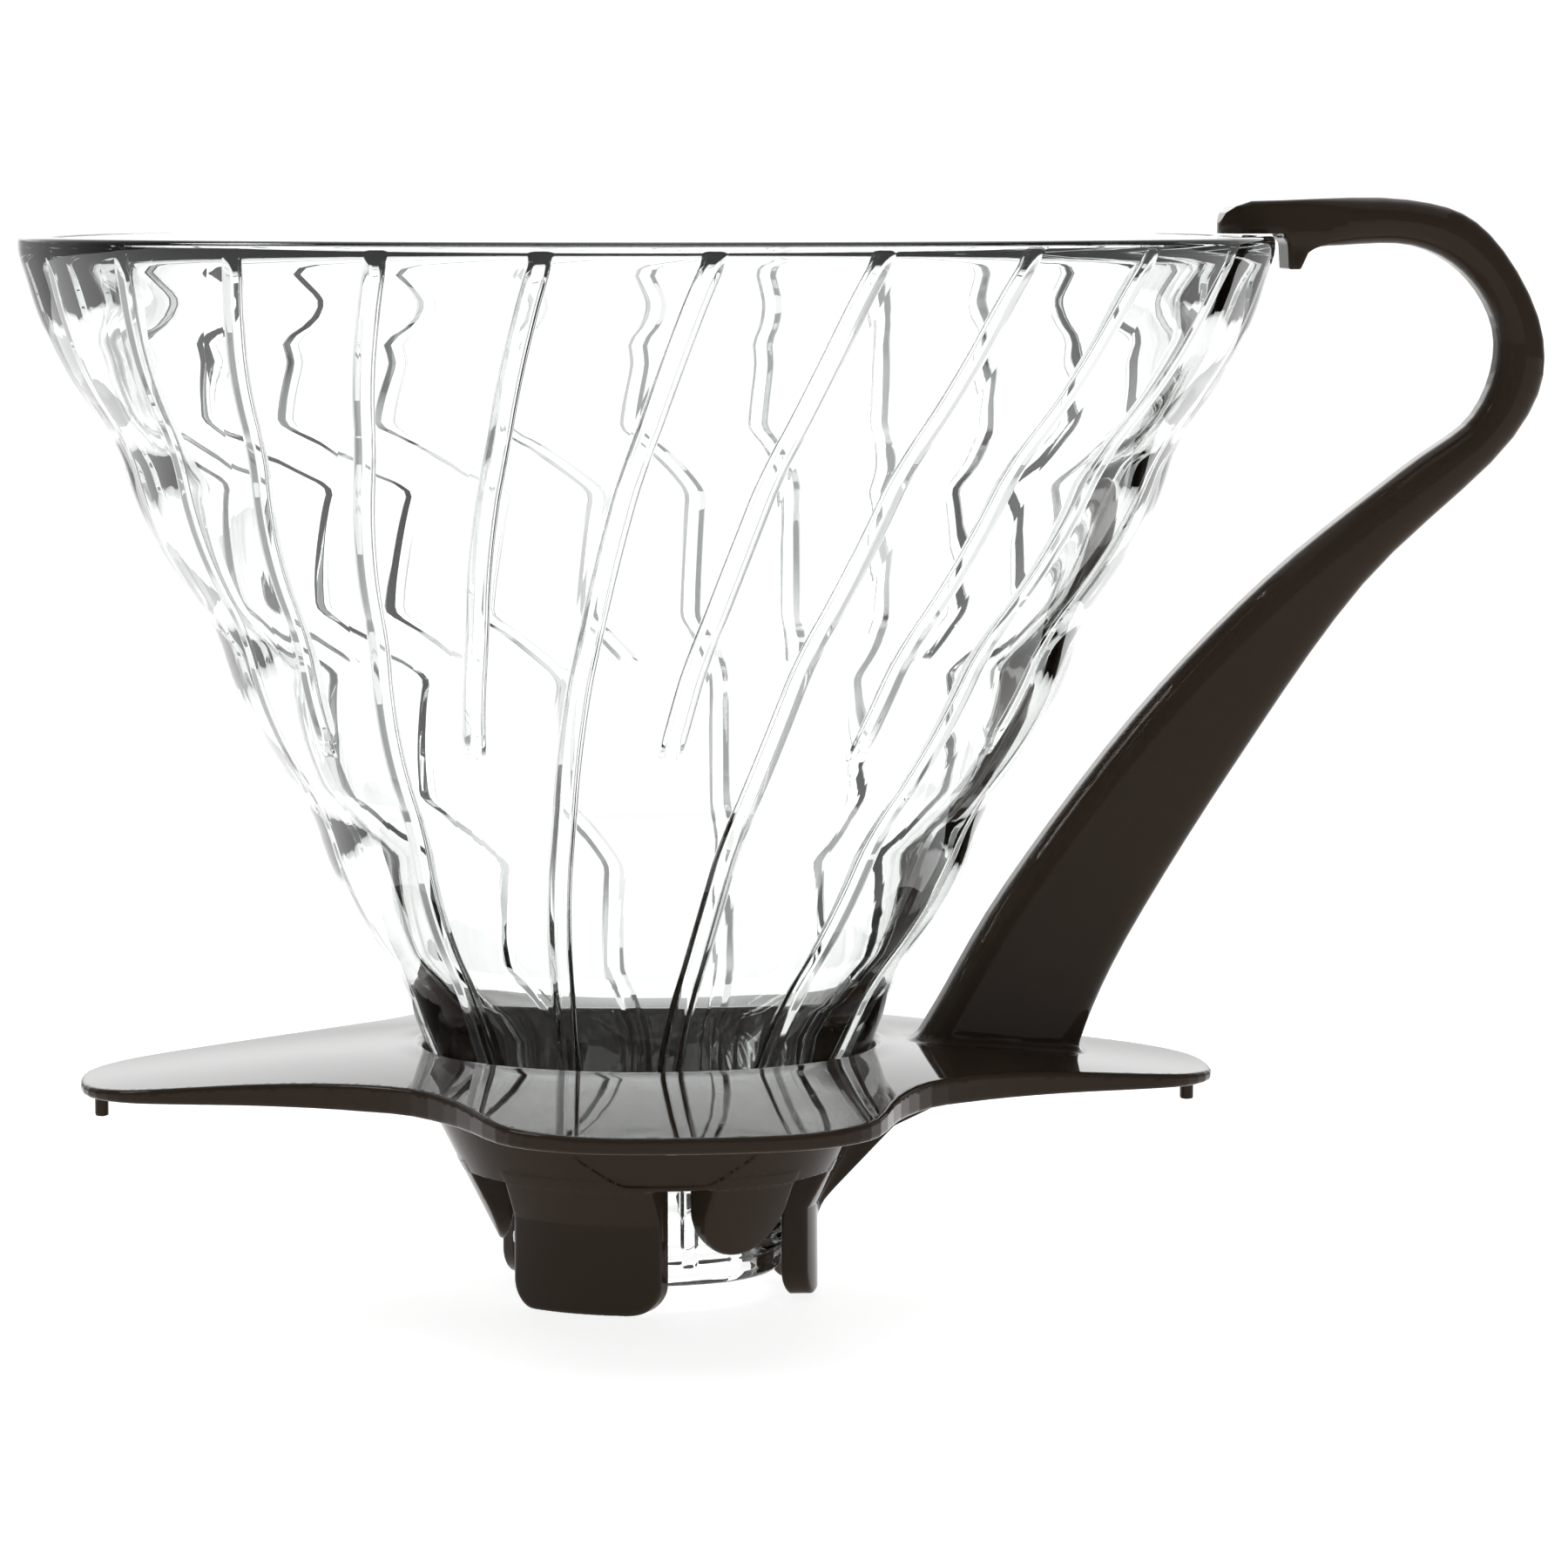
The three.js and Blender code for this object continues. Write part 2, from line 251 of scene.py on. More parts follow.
def new_object(name, vertices, faces, material, normals=None):
    """A smooth mesh object from points in millimetres and faces as rows of indices."""
    mesh = bpy.data.meshes.new(name)
    mesh.from_pydata((ORIGIN + np.asarray(vertices) * MM).tolist(), [], np.asarray(faces).tolist())
    mesh.shade_smooth()
    if normals is not None:
        mesh.normals_split_custom_set_from_vertices(np.asarray(normals).tolist())
    mesh.materials.append(material)
    piece = bpy.data.objects.new(name, mesh)
    bpy.context.scene.collection.objects.link(piece)
    return piece


# ---- Glass ----
def arc(centre, radius, start, end, steps):
    """Points of an arc in the radius-depth plane; angles in degrees, 0 outwards and 90 upwards."""
    angles = np.radians(np.linspace(start, end, steps))
    return [(centre[0] + radius * math.cos(a), centre[1] - radius * math.sin(a)) for a in angles]


def outside_rows(depths, waves):
    """(radius, depth) rows up the outside, from the spout's end to the rim."""
    neck = [(NECK_RADIUS, d) for d in np.arange(SHOULDER_DEPTH + 0.6, SPOUT_DEPTH - 0.9, NECK_STEP)]
    bands = [(outer_line(d) + w, d) for d, w in zip(depths, waves)]
    return [
        *arc((NECK_RADIUS - SPOUT_EDGE, SPOUT_DEPTH - SPOUT_EDGE), SPOUT_EDGE, -90, 0, 6),
        *reversed(neck),
        *arc((NECK_RADIUS + NECK_FILLET, SHOULDER_DEPTH + NECK_FILLET), NECK_FILLET, 180, 90, 4),
        *arc((SHOULDER_RADIUS - SHOULDER_EDGE, SHOULDER_DEPTH - SHOULDER_EDGE), SHOULDER_EDGE, -90, 15, 5),
        *ROOT_PROFILE,
        *reversed(bands),
        *arc((RIM_RADIUS - RIM_ROUND, RIM_ROUND), RIM_ROUND, 0, 90, 7),
    ]


def inside_rows(depths, waves):
    """(radius, depth) rows down the inside, from the rim to the spout's end."""
    rim = inner_radius(0) + RIM_INSET
    depths = depths[INNER_WAVE_ROW:]
    waves = waves[INNER_WAVE_ROW:] * smoothstep(*INNER_WAVE_START, depths)
    wall = [
        (inner_radius(d) + INNER_WAVE * np.interp(d, depths, waves), d)
        for d in np.linspace(1.0, BORE_DEPTH - 0.8, INNER_STEPS)
    ]
    return [
        (rim + 0.6, 0.0),
        *arc((rim, RIM_ROUND), RIM_ROUND, 90, 195, 7),
        *wall,
        (BORE_RADIUS + 0.08, BORE_DEPTH + 0.1),
        (BORE_RADIUS, BORE_DEPTH + 1.0),
        *[(BORE_RADIUS, d) for d in np.linspace(BORE_DEPTH + 2.5, SPOUT_DEPTH - 1.0, 5)],
        *arc((BORE_RADIUS + BORE_EDGE, SPOUT_DEPTH - BORE_EDGE), BORE_EDGE, 180, 270, 5),
    ]


def glass_rows():
    """The closed section as (radius, depth, inside) rows, up the outside and down the inside."""
    waves = wall_waves()
    return [(r, d, False) for r, d in outside_rows(*waves)] + [(r, d, True) for r, d in inside_rows(*waves)]


def rib_profile(offset):
    """A rib's height across its width, from 0 to 1."""
    return np.clip((RIB_FOOT - np.abs(offset)) / (RIB_FOOT - RIB_CREST), 0, 1)


def neck_relief(angle, depth):
    """Height of the lugs, their stops and the low bead on the neck."""
    turn = 2 * math.pi / LUG_COUNT
    from_lug = (angle - LUG_ANGLE + turn / 2) % turn - turn / 2
    top, bottom = LUG_DEPTHS
    lug = 1 - smoothstep(LUG_HALF_ANGLE - LUG_SIDE_EASE, LUG_HALF_ANGLE + LUG_SIDE_EASE, np.abs(from_lug))
    lug = lug * smoothstep(top + LUG_TOP_EASE[0], top + LUG_TOP_EASE[1], depth)
    lug = lug * (1 - smoothstep(bottom + LUG_BOTTOM_EASE[0], bottom + LUG_BOTTOM_EASE[1], depth))
    stop = 1 - smoothstep(*STOP_SIDE_EASE, np.abs(from_lug - STOP_ANGLE))
    stop = stop * smoothstep(top, top + STOP_TOP_EASE, depth)
    stop = stop * smoothstep(*STOP_BOTTOM_EASE, SPOUT_DEPTH - depth)
    bead = 1 - smoothstep(*BEAD_EASE, np.abs(depth - BEAD_DEPTH))
    return np.maximum(np.maximum(LUG_HEIGHT * lug, STOP_HEIGHT * stop), BEAD_HEIGHT * bead)


def ring_faces(rows, columns):
    """Quads of a closed ring of rows, each with its vertices one after another."""
    i, j = np.meshgrid(np.arange(rows), np.arange(columns), indexing="ij")
    below, beside = (i + 1) % rows, (j + 1) % columns
    corners = [i * columns + j, i * columns + beside, below * columns + beside, below * columns + j]
    return np.stack(corners, -1).reshape(-1, 4)


def glass_mesh():
    """Vertices, faces and each vertex's share of the painted shade along the ribs' flanks and the rim's edge, 0
    to 1. Columns follow the ribs' spiral.
    """
    rows = glass_rows()
    period = 2 * math.pi / RIB_COUNT
    offsets = np.array(RIB_OFFSETS)
    fractions = np.arange(1, GAP_STEPS + 1) / (GAP_STEPS + 1)
    vertices, painted_shades = [], []
    for radius, depth, inside in rows:
        reference = max(BORE_RADIUS, inner_radius(depth))
        edge = offsets[-1] / reference
        local = np.concatenate([offsets / reference, edge + fractions * (period - 2 * edge)])
        across = np.concatenate([offsets, np.full(GAP_STEPS, 2 * RIB_FOOT)])
        twist = RIB_TWIST * min(max(depth, 0.0), LONG_RIB_DEPTH)
        for rib in range(RIB_COUNT):
            end = SHORT_RIB_DEPTH if rib % 2 else LONG_RIB_DEPTH
            angle = FIRST_RIB_ANGLE + rib * period + twist + local
            r = np.full(len(local), radius)
            painted_shade = np.zeros(len(local))
            if inside:
                fade = smoothstep(RIB_TOP_DEPTH + RIB_TOP_EASE[0], RIB_TOP_DEPTH + RIB_TOP_EASE[1], depth)
                fade = fade * (1 - smoothstep(end + RIB_END_EASE[0], end + RIB_END_EASE[1], depth))
                r = r - RIB_HEIGHT * fade * rib_profile(across)
                # painted shade: marks each rib's flanks so the glass's colour darkens there, standing for the
                # dark refraction lines
                painted_shade = RIB_PAINTED_SHADE * fade * ((np.abs(across) > RIB_CREST) & (np.abs(across) < RIB_FOOT + 0.01))
            elif depth < RIM_EDGE:
                # painted shade along the rim's rounded edge
                painted_shade[:] = RIM_PAINTED_SHADE
            elif depth > SHOULDER_DEPTH + 0.8:
                r = r + neck_relief(angle, depth)
            vertices.append(np.stack([r * np.cos(angle), r * np.sin(angle), np.full(len(r), -depth)], 1))
            painted_shades.append(painted_shade)
    faces = ring_faces(len(rows), RIB_COUNT * (len(RIB_OFFSETS) + GAP_STEPS))
    return np.concatenate(vertices), faces, np.concatenate(painted_shades)


# ---- Stand: a smooth solid described by distances ----
def outline_distance(u, v, outline):
    """Signed distance in a plane from points to a closed outline, negative inside."""
    outline = np.asarray(outline, float)
    nearest = np.full(u.shape, np.inf)
    inside = np.zeros(u.shape, bool)
    for (ax, ay), (bx, by) in zip(outline, np.roll(outline, -1, axis=0)):
        ex, ey = bx - ax, by - ay
        wx, wy = u - ax, v - ay
        t = np.clip((wx * ex + wy * ey) / (ex * ex + ey * ey), 0, 1)
        nearest = np.minimum(nearest, (wx - ex * t) ** 2 + (wy - ey * t) ** 2)
        if ay != by:
            crosses = (ay > v) != (by > v)
            inside ^= crosses & (u < ex * (v - ay) / ey + ax)
    return np.where(inside, -1, 1) * np.sqrt(nearest)


def rounded(a, b, radius):
    """The overlap of two solids, with its edges rounded."""
    qa, qb = a + radius, b + radius
    outside = np.hypot(np.maximum(qa, 0), np.maximum(qb, 0))
    return np.minimum(np.maximum(qa, qb), 0) + outside - radius


def fused(a, b, fillet):
    """The union of two solids, with a fillet where they meet."""
    h = np.clip(0.5 + 0.5 * (b - a) / fillet, 0, 1)
    return b * (1 - h) + a * h - fillet * h * (1 - h)


def smooth_curve(points, closed, count):
    """Evenly stepped points on a Catmull-Rom curve through a few chosen ones."""
    p = np.asarray(points, float)
    if closed:
        p = np.vstack([p[-1:], p, p[:2]])
    else:
        p = np.vstack([2 * p[0] - p[1], p, 2 * p[-1] - p[-2]])
    out = []
    spans = len(p) - 3
    for s in range(spans):
        a, b, c, d = p[s : s + 4]
        square, cube = 2 * a - 5 * b + 4 * c - d, 3 * b - a - 3 * c + d
        for t in np.arange(0, 1, spans / count):
            out.append(0.5 * (2 * b + (c - a) * t + square * t**2 + cube * t**3))
    if not closed:
        out.append(p[-2])
    return np.array(out)


def plate_outline():
    """Four lobes seen from above, from a quarter that is mirrored twice."""
    quarter = [
        (PLATE_REACH, 0),
        (50.6, 5.6),
        (47.9, 9.6),
        (43.6, 12),
        (36, 14.8),
        (28.7, 18.5),
        (22.8, 23.4),
        (19.2, 30),
        (16.4, 38.4),
        (13, 42.4),
        (8, 44.8),
        (0, LOBE_REACH),
    ]
    half = quarter + [(-x, y) for x, y in quarter[-2::-1]]
    return smooth_curve(half + [(x, -y) for x, y in half[-2:0:-1]], True, 132)


def handle_outline():
    """Side view: up the back, over the top, down the front of the loop, then the hook."""
    back = [
        (54.4, HANDLE_RISE - 0.15),
        (69, HANDLE_RISE),
        (76.6, 0.1),
        (HANDLE_REACH, -9.4),
        (79, -18.4),
        (65.2, -31.7),
        (53.5, -48),
        (43.6, -63.8),
        (39.4, -73),
        (39.6, -75.4),
    ]
    front = [
        (23.4, -74.2),
        (26.3, -69.6),
        (32.6, -59),
        (44.3, -43.6),
        (56.5, -31.1),
        (68.8, -21.3),
        (75.4, -16.3),
        (77.5, -9.8),
        (75, -4.2),
        (69.6, -1),
        (61.2, -1),
    ]
    hook = [(57.6, -0.4), (56.8, 0), (51.8, 0), (51.8, 1.1), (52.2, 2), (53, 2.6)]
    return np.vstack([smooth_curve(back, False, 45), smooth_curve(front, False, 50), hook])


def glass_envelope(z):
    """The outer radius that the stand has to leave for the glass."""
    depths = [0, ROOT_DEPTH, 72.3, SHOULDER_DEPTH, SHOULDER_DEPTH + 0.01]
    radii = [OUTER_START, outer_line(ROOT_DEPTH), 20.4, SHOULDER_RADIUS, NECK_RADIUS]
    return np.interp(-z, depths, radii)


def plate_field(x, y, z, r, outline):
    """The drooping plate, thinner towards its rim, with a round opening."""
    fall = np.maximum(r - DROOP_START, 0)
    half = (PLATE_THICKNESS - TAPER * np.maximum(r - TAPER_START, 0)) / 2
    middle = -(PLATE_DEPTH + DROOP * fall**DROOP_POWER) - half
    steepness = DROOP * DROOP_POWER * fall ** (DROOP_POWER - 1)
    level = (np.abs(z - middle) - half) / np.sqrt(1 + steepness**2)
    edge = np.maximum(outline_distance(x, y, outline), OPENING_RADIUS - r)
    return rounded(edge, level, PLATE_EDGE)


def cup_radius(depth):
    return CUP_RADIUS - CUP_SLOPE * (depth - CUP_RADIUS_DEPTH)


def fin_frames(x, y, first_angle):
    """Outward and sideways distances in each of three frames a third of a turn apart."""
    for i in range(3):
        a = math.radians(first_angle + 120 * i)
        yield x * math.cos(a) + y * math.sin(a), y * math.cos(a) - x * math.sin(a)


def cup_wall():
    """The cup's section with the shelf that carries the washer, as (radius, height) points."""
    top, shelf_top, shelf_bottom = PLATE_DEPTH + 0.5, *SHELF_DEPTHS
    return [
        (20.7, -top),
        (23.0, -top - 0.9),
        (cup_radius(77.2), -77.2),
        (cup_radius(shelf_bottom), -shelf_bottom),
        (SHELF_RADIUS, -shelf_bottom),
        (SHELF_RADIUS, -shelf_top),
        (16.3, -shelf_top),
        (16.2, -SHOULDER_DEPTH),
        (18.4, -77),
    ]


def fin_section(depth, outside):
    """The ring that the feet or the tabs are cut from, as (radius, height) points."""
    return [
        (SKIRT_INNER_RADIUS, -FIN_TOP_DEPTH),
        (cup_radius(FIN_TOP_DEPTH), -FIN_TOP_DEPTH),
        *outside,
        (SKIRT_INNER_RADIUS, -depth),
    ]


def cup_field(x, y, z, r):
    """The cup with its shelf, three feet, three round-ended tabs and the U-shaped recesses."""
    field = outline_distance(r, z, cup_wall())
    waist = CUP_RADIUS_DEPTH + (CUP_RADIUS - FOOT_OUTER_RADIUS) / CUP_SLOPE
    foot_outside = [(FOOT_OUTER_RADIUS, -waist), (FOOT_OUTER_RADIUS, -FOOT_DEPTH)]
    tab_outside = [(cup_radius(TAB_DEPTH), -TAB_DEPTH)]
    foot_section = outline_distance(r, z, fin_section(FOOT_DEPTH, foot_outside))
    tab_section = outline_distance(r, z, fin_section(TAB_DEPTH, tab_outside))
    for out, side in fin_frames(x, y, 0):
        face = rounded(np.abs(side) - FOOT_HALF_WIDTH, -FOOT_DEPTH - z, FOOT_CORNER)
        foot = rounded(np.maximum(foot_section, -out), face, FOOT_EDGE)
        field = fused(field, foot, FIN_FILLET)
    for out, side in fin_frames(x, y, 60):
        centre = -TAB_DEPTH + TAB_HALF_WIDTH
        face = np.hypot(side, np.minimum(z - centre, 0)) - TAB_HALF_WIDTH
        tab = rounded(np.maximum(tab_section, -out), face, TAB_EDGE)
        field = fused(field, tab, FIN_FILLET)
    return -fused(-field, recess_field(x, z, r), RECESS_SOFTNESS)


def recess_field(x, z, r):
    """A shallow U cut into the cup's outside, front and back."""
    flare = smoothstep(0, 1, (-z - RECESS_FLARE_DEPTH) / RECESS_FLARE_HEIGHT)
    across = (np.abs(x) - RECESS_HALF_WIDTH + RECESS_NARROWING * flare) * RECESS_SIDE_SCALE
    side = rounded(across, -z - RECESS_BOTTOM_DEPTH, RECESS_CORNER)
    depth = (cup_radius(-z) - RECESS_DEPTH - r) * WALL_COSINE
    return rounded(side * RECESS_FACE_SCALE, depth, RECESS_EDGE)


def gusset_field(x, y, z):
    """The web under the plate on the handle's side."""
    outline = [
        (20.6, -74.6),
        (34, -75.4),
        (22.3, -80.8),
        (15.3, -88),
        (14.4, -88),
        (14.4, -84.5),
        (17, -82.4),
    ]
    return rounded(outline_distance(x, z, outline), np.abs(y) - GUSSET_HALF_WIDTH, GUSSET_EDGE)


def tip_peg_field(x, y, z):
    """The small pegs under the wings' tips."""
    top = PLATE_DEPTH + PEG_TOP_DROP
    middle, half = (PEG_DEPTH + top) / 2, (PEG_DEPTH - top) / 2
    across = np.hypot(np.abs(x) - PEG_REACH, y * PEG_STRETCH) - PEG_RADIUS
    return rounded(across, np.abs(z + middle) - half, PEG_EDGE)


def handle_field(x, y, z, outline):
    """The handle's strap with its hook over the rim and the small lug behind the glass."""
    at_hook = (1 - smoothstep(*HOOK_REACH_EASE, x)) * smoothstep(*HOOK_RISE_EASE, z)
    rounding = HANDLE_ROUND + (HOOK_ROUND - HANDLE_ROUND) * at_hook
    blade = rounded(outline_distance(x, z, outline), np.abs(y) - HANDLE_HALF_WIDTH, rounding)
    nose = rounded(HOOK_START - x, np.abs(y) - HANDLE_HALF_WIDTH, HOOK_NOSE)
    blade = np.where(z > NOSE_LOWEST, np.maximum(blade, nose), blade)
    lug_outline = [(57.7, 0.6), (57.9, -3.1), (59.0, -3.1), (59.7, -1.6), (61.2, -0.6)]
    lug = rounded(outline_distance(x, z, lug_outline), np.abs(y) - HOOK_LUG_HALF_WIDTH, HOOK_LUG_EDGE)
    return fused(blade, lug, HOOK_LUG_FILLET)


PLATE_OUTLINE = plate_outline()
HANDLE_OUTLINE = handle_outline()


def stand_field(p):
    """Signed distance to the stand's surface for points in millimetres, negative inside."""
    x, y, z = p[:, 0], p[:, 1], p[:, 2]
    r = np.hypot(x, y)
    field = fused(plate_field(x, y, z, r, PLATE_OUTLINE), cup_field(x, y, z, r), CUP_FILLET)
    field = fused(field, gusset_field(x, y, z), GUSSET_FILLET)
    field = fused(field, tip_peg_field(x, y, z), PEG_FILLET)
    field = fused(field, handle_field(x, y, z, HANDLE_OUTLINE), HANDLE_FILLET)
    clear = np.minimum((glass_envelope(z) + GLASS_CLEARANCE - r) * WALL_COSINE, RIM_CLEARANCE - z)
    return np.maximum(field, clear)


def inside_grid(field, low, high):
    """Which points of a grid are inside, with the field worked out only in blocks that it may cross."""
    counts = [int(math.ceil((b - a) / CELL / BLOCK)) * BLOCK + 1 for a, b in zip(low, high)]
    grid = np.full(counts, 1.0, np.float32)
    starts = [np.arange(0, n - 1, BLOCK) for n in counts]
    corner = np.stack(np.meshgrid(*starts, indexing="ij"), -1).reshape(-1, 3)
    middle = field(np.asarray(low) + (corner + BLOCK / 2) * CELL)
    reach = BLOCK_REACH * BLOCK * CELL
    steps = np.arange(BLOCK + 1)
    local = np.stack(np.meshgrid(steps, steps, steps, indexing="ij"), -1).reshape(-1, 3)
    for i, j, k in corner[middle < -reach]:
        grid[i : i + BLOCK + 1, j : j + BLOCK + 1, k : k + BLOCK + 1] = -1
    near = corner[np.abs(middle) <= reach]
    for part in np.array_split(near, max(1, len(near) // BLOCKS_AT_ONCE)):
        index = (part[:, None, :] + local[None]).reshape(-1, 3)
        grid[index[:, 0], index[:, 1], index[:, 2]] = field(np.asarray(low) + index * CELL)
    return grid < 0


def crossing_quads(inside, number):
    """One quad round each grid edge that leaves the solid, through the numbered cells beside it."""
    counts = inside.shape
    faces = []
    for axis in range(3):
        a, b = (axis + 1) % 3, (axis + 2) % 3
        first = np.take(inside, np.arange(counts[axis] - 1), axis)
        second = np.take(inside, np.arange(1, counts[axis]), axis)
        edges = np.argwhere(first != second)
        edges = edges[(edges[:, a] > 0) & (edges[:, b] > 0)]
        edges = edges[(edges[:, a] < counts[a] - 1) & (edges[:, b] < counts[b] - 1)]
        around = []
        for da, db in ((-1, -1), (0, -1), (0, 0), (-1, 0)):
            cell_index = edges.copy()
            cell_index[:, a] += da
            cell_index[:, b] += db
            around.append(number[tuple(cell_index.T)])
        quads = np.stack(around, 1)
        leaving = first[tuple(edges.T)]
        faces.append(np.where(leaving[:, None], quads, quads[:, ::-1]))
    return np.concatenate(faces)


def solid_surface(field, low, high):
    """A closed triangle mesh of field = 0, drawn on a grid and then pulled exactly onto the surface."""
    inside = inside_grid(field, low, high)
    across, along, up = inside.shape
    cells = sum(
        inside[a : a + across - 1, b : b + along - 1, c : c + up - 1].astype(np.int8)
        for a in (0, 1)
        for b in (0, 1)
        for c in (0, 1)
    )
    mixed = np.argwhere((cells > 0) & (cells < 8))
    number = np.full(cells.shape, -1, np.int64)
    number[tuple(mixed.T)] = np.arange(len(mixed))
    vertices = np.asarray(low) + (mixed + 0.5) * CELL
    faces = crossing_quads(inside, number)
    return refined(field, settle(field, vertices, faces), faces)


def gradient(field, points):
    steps = GRADIENT_STEP * np.eye(3)
    rises = [field(points + step) - field(points - step) for step in steps]
    return np.stack(rises, 1) / (2 * GRADIENT_STEP)


def unit_normals(field, points):
    slope = gradient(field, points)
    return slope / np.maximum(np.linalg.norm(slope, axis=1, keepdims=True), 1e-6)


def pull(field, points):
    """One Newton step onto field = 0, no longer than a cell."""
    value = field(points)
    slope = gradient(field, points)
    step = value / np.maximum((slope**2).sum(1), LEAST_GRADIENT)
    return points - np.clip(step, -CELL, CELL)[:, None] * slope


def settle(field, points, faces):
    """Even out the mesh and pull it onto the surface, in turns."""
    pairs = np.concatenate([faces[:, [i, (i + 1) % 4]] for i in range(4)])
    pairs = np.concatenate([pairs, pairs[:, ::-1]])
    degree = np.bincount(pairs[:, 0], minlength=len(points))
    for _ in range(SETTLE_ROUNDS):
        sums = [np.bincount(pairs[:, 0], points[pairs[:, 1], c], len(points)) for c in range(3)]
        mean = np.stack(sums, 1) / degree[:, None]
        points = pull(field, (points + mean) / 2)
    return pull(field, pull(field, points))


def split(faces, middles):
    """Triangles abc cut at the middles of their edges ab, bc and ca, where those aren't -1."""
    pieces = [faces[(middles < 0).all(1)]]
    for turn in range(3):
        a, b, c = np.roll(faces, -turn, axis=1).T
        p, q, r = np.roll(middles, -turn, axis=1).T
        one = (p >= 0) & (q < 0) & (r < 0)
        two = (p >= 0) & (q >= 0) & (r < 0)
        pieces += [np.stack(corners, 1)[one] for corners in ((a, p, c), (p, b, c))]
        pieces += [np.stack(corners, 1)[two] for corners in ((p, b, q), (a, p, q), (a, q, c))]
    a, b, c = faces.T
    p, q, r = middles.T
    three = (middles >= 0).all(1)
    pieces += [np.stack(corners, 1)[three] for corners in ((a, p, r), (p, b, q), (r, q, c), (p, q, r))]
    return np.concatenate(pieces)


def refined(field, points, faces):
    """Split the mesh into triangles, smaller ones where the surface turns sharply."""
    faces = np.concatenate([faces[:, [0, 1, 2]], faces[:, [0, 2, 3]]])
    for _ in range(REFINEMENTS):
        normals = unit_normals(field, points)
        ends = np.sort(faces[:, [[0, 1], [1, 2], [2, 0]]].reshape(-1, 2), axis=1)
        keys, edge_of = np.unique(ends[:, 0] * len(points) + ends[:, 1], return_inverse=True)
        first, second = keys // len(points), keys % len(points)
        sharp = (normals[first] * normals[second]).sum(1) < SHARP_TURN
        middle = (points[first[sharp]] + points[second[sharp]]) / 2
        number = np.full(len(keys), -1)
        number[sharp] = len(points) + np.arange(len(middle))
        points = np.concatenate([points, pull(field, pull(field, middle))])
        faces = split(faces, number[edge_of.reshape(-1)].reshape(-1, 3))
    return points, faces


# ---- Materials ----
GLASS_TINT = (0.985, 0.992, 0.988)
PAINTED_EDGE_SHADE = (0.02, 0.0205, 0.0205)  # painted shade: colour that stands for the dark line refraction shows along a rib's side and the rim's edge
GLASS_DEPTH_COLOUR = (0.62, 0.72, 0.68, 1)
GLASS_DEPTH_DENSITY = 18.0
PLASTIC_COLOURS = (0.0325, 0.0228, 0.0163), (0.0372, 0.0262, 0.0190)
PLASTIC_ROUGHNESS = (0.012, 0.04)
SILICONE_COLOURS = (0.030, 0.027, 0.024), (0.045, 0.041, 0.037)
SILICONE_ROUGHNESS = (0.5, 0.7)
FLOOR_COLOURS = (0.50, 0.50, 0.50), (0.52, 0.52, 0.52)
FLOOR_GLOW = 0.86


def material(name, **values):
    """A material with its node tree and shader; a socket's name has _ for each space."""
    made = bpy.data.materials.new(name)
    made.use_nodes = True
    shader = made.node_tree.nodes["Principled BSDF"]
    for socket, value in values.items():
        shader.inputs[socket.replace("_", " ")].default_value = value
    return made, made.node_tree, shader


def noise(tree, scale, detail=3.0, roughness=0.5):
    """Noise fixed to the object; the scale is in features per metre."""
    coords = tree.nodes.new("ShaderNodeTexCoord")
    node = tree.nodes.new("ShaderNodeTexNoise")
    node.inputs["Scale"].default_value = scale
    node.inputs["Detail"].default_value = detail
    node.inputs["Roughness"].default_value = roughness
    tree.links.new(coords.outputs["Object"], node.inputs["Vector"])
    return node.outputs["Fac"]


def ranged(tree, value, low, high):
    """A value from 0 to 1, made to run from low to high."""
    node = tree.nodes.new("ShaderNodeMapRange")
    node.inputs["To Min"].default_value = low
    node.inputs["To Max"].default_value = high
    tree.links.new(value, node.inputs["Value"])
    return node.outputs["Result"]


def mixed_colour(tree, factor, a, b):
    node = tree.nodes.new("ShaderNodeMix")
    node.data_type = "RGBA"
    node.inputs["A"].default_value = (*a, 1)
    node.inputs["B"].default_value = (*b, 1)
    tree.links.new(factor, node.inputs["Factor"])
    return node.outputs["Result"]


def bump(tree, shader, height, strength, distance):
    node = tree.nodes.new("ShaderNodeBump")
    node.inputs["Strength"].default_value = strength
    node.inputs["Distance"].default_value = distance
    tree.links.new(height, node.inputs["Height"])
    tree.links.new(node.outputs["Normal"], shader.inputs["Normal"])


def clear_glass():
    """Pressed borosilicate: clear, faintly grey-green in its thickness, with painted shade darkening its colour
    along the ribs' flanks and the rim's edge.
    """
    made, tree, shader = material("clear_glass", Roughness=0.0, IOR=1.474, Transmission_Weight=1.0)
    # painted shade: the glass's colour is darkened where this attribute marks the ribs' flanks and the rim's
    # edge
    painted_shade = tree.nodes.new("ShaderNodeAttribute")
    painted_shade.attribute_name = "painted_rib_shade"
    tint_and_painted_shade = mixed_colour(tree, painted_shade.outputs["Fac"], GLASS_TINT, PAINTED_EDGE_SHADE)
    tree.links.new(tint_and_painted_shade, shader.inputs["Base Color"])
    bump(tree, shader, noise(tree, 45, 0.0), 0.12, 0.0006)
    volume = tree.nodes.new("ShaderNodeVolumeAbsorption")
    volume.inputs["Color"].default_value = GLASS_DEPTH_COLOUR
    volume.inputs["Density"].default_value = GLASS_DEPTH_DENSITY
    tree.links.new(volume.outputs["Volume"], tree.nodes["Material Output"].inputs["Volume"])
    return made


